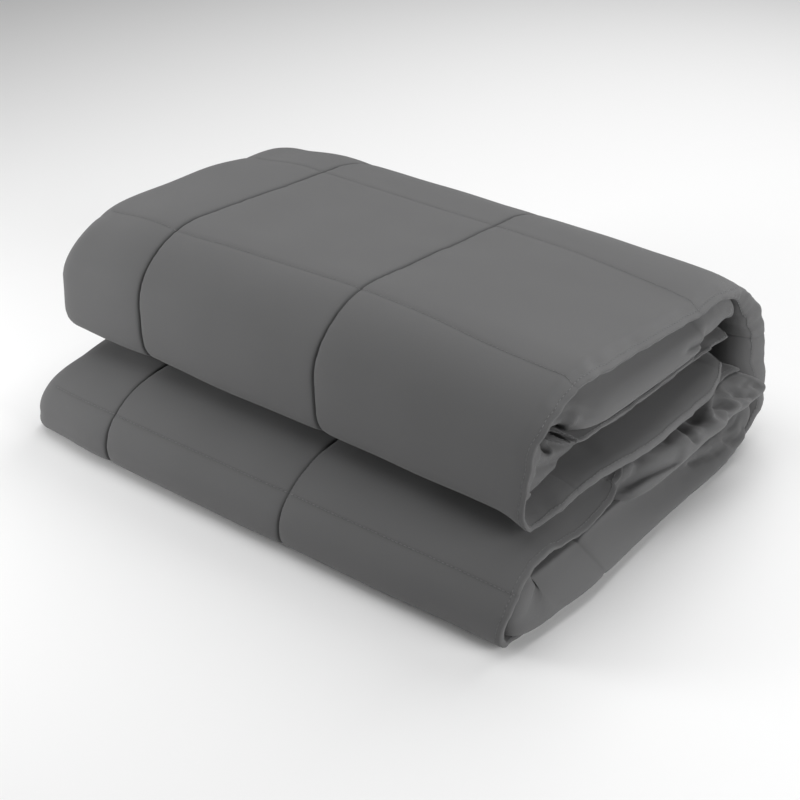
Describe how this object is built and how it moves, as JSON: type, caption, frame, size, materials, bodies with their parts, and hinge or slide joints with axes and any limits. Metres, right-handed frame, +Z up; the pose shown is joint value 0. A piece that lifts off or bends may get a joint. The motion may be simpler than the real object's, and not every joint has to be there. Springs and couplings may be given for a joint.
{
  "type": "folded weighted blanket",
  "caption": "Padded weighted blanket quilted in squares, folded back and forth and then rolled in to a flat rectangular stack with hems at one end.",
  "frame": {"origin": "on the surface that the folded blanket rests on, under the middle of its bounding box", "axes": "+X along the rolls, towards the end where the hems show; +Y from the two rolls to the folded spine; +Z up"},
  "size_m": [0.5544, 0.4314, 0.2001],
  "materials": {
    "cotton_cover": "matt dark grey woven cotton, stitched in squares"
  },
  "bodies": {
    "root": {"blanket": "cotton_cover"}
  },
  "joints": []
}
